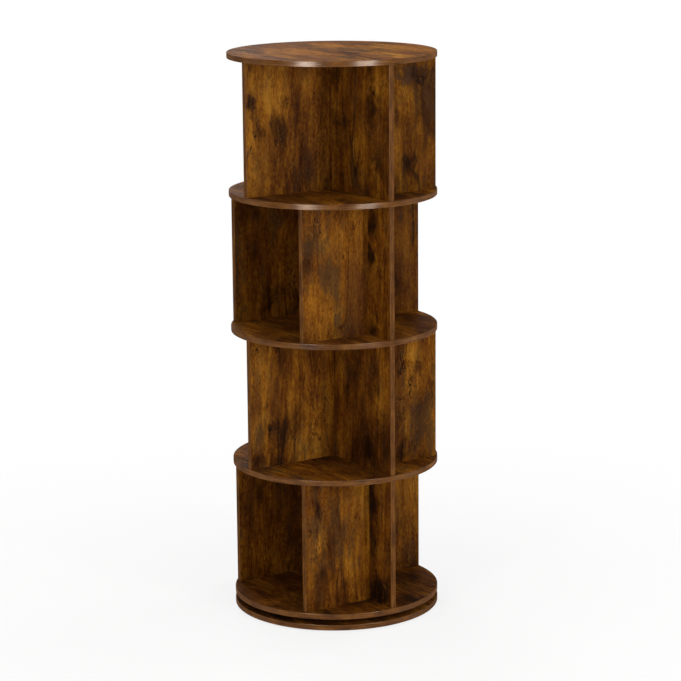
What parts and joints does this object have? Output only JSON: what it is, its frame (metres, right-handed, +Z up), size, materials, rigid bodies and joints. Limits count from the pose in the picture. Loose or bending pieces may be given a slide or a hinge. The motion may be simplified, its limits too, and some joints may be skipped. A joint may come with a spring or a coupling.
{
  "type": "revolving bookcase",
  "caption": "Floor-standing round bookcase whose open tiers, divided by upright panels, turn together on a ball-bearing ring over a fixed round base.",
  "frame": {"origin": "centre of the footprint on the floor, on the axis of rotation", "axes": "+Z up along the axis of rotation; -X towards the book bay of the bottom tier; the divider panels lie in the YZ plane"},
  "size_m": [0.4599, 0.46, 1.252],
  "materials": {
    "board_facing": "satin melamine facing with a rustic brown oak print",
    "panel_facing": "satin melamine facing with a rustic brown oak print, grain upright",
    "board_edge_banding": "satin edge banding",
    "panel_edge_banding": "satin edge banding",
    "zinc_steel": "zinc plated",
    "zinc_casting": "zinc die casting",
    "beech": "bare beech",
    "cap_plastic": "matt moulded",
    "glide_plastic": "matt moulded",
    "bearing_aluminium": "turned",
    "cage_nylon": "moulded nylon",
    "bearing_steel": "polished balls"
  },
  "bodies": {
    "base": {"base_board": "board_facing", "base_edge_band": "board_edge_banding", "glides": "glide_plastic", "bearing_outer_ring": "bearing_aluminium", "bearing_outer_screws": "zinc_steel"},
    "ball_cage": {"bearing_ball_cage": "cage_nylon", "bearing_balls": "bearing_steel"},
    "bookcase": {"bearing_inner_ring": "bearing_aluminium", "bearing_inner_screws": "zinc_steel", "turntable_board": "board_facing", "turntable_edge_band": "board_edge_banding", "turntable_cam_bolts": "zinc_steel", "turntable_dowels": "beech", "shelf_1_board": "board_facing", "shelf_1_edge_band": "board_edge_banding", "shelf_1_cam_bolts": "zinc_steel", "shelf_1_dowels": "beech", "shelf_2_board": "board_facing", "shelf_2_edge_band": "board_edge_banding", "shelf_2_cam_bolts": "zinc_steel", "shelf_2_dowels": "beech", "shelf_3_board": "board_facing", "shelf_3_edge_band": "board_edge_banding", "shelf_3_cam_bolts": "zinc_steel", "shelf_3_dowels": "beech", "top_board": "board_facing", "top_edge_band": "board_edge_banding", "top_cam_bolts": "zinc_steel", "top_dowels": "beech", "tier_1_divider": "panel_facing", "tier_1_fin": "panel_facing", "tier_1_side_a": "panel_facing", "tier_1_side_b": "panel_facing", "tier_1_edge_bands": "panel_edge_banding", "tier_1_cams": "zinc_casting", "tier_1_cam_caps": "cap_plastic", "tier_2_divider": "panel_facing", "tier_2_fin": "panel_facing", "tier_2_side_a": "panel_facing", "tier_2_side_b": "panel_facing", "tier_2_edge_bands": "panel_edge_banding", "tier_2_cams": "zinc_casting", "tier_2_cam_caps": "cap_plastic", "tier_3_divider": "panel_facing", "tier_3_fin": "panel_facing", "tier_3_side_a": "panel_facing", "tier_3_side_b": "panel_facing", "tier_3_edge_bands": "panel_edge_banding", "tier_3_cams": "zinc_casting", "tier_3_cam_caps": "cap_plastic", "tier_4_divider": "panel_facing", "tier_4_fin": "panel_facing", "tier_4_side_a": "panel_facing", "tier_4_side_b": "panel_facing", "tier_4_edge_bands": "panel_edge_banding", "tier_4_cams": "zinc_casting", "tier_4_cam_caps": "cap_plastic"}
  },
  "joints": [
    {"name": "bookcase_turn", "type": "hinge", "parent": "base", "child": "bookcase", "pos_m": [0, 0, 0.0215], "axis": [0, 0, 1], "continuous": true},
    {"name": "ball_cage_turn", "type": "hinge", "parent": "base", "child": "ball_cage", "pos_m": [0, 0, 0.0215], "axis": [0, 0, 1], "continuous": true}
  ],
  "couplings": [
    {"joint": "ball_cage_turn", "follows": "bookcase_turn", "ratio": 0.492}
  ]
}
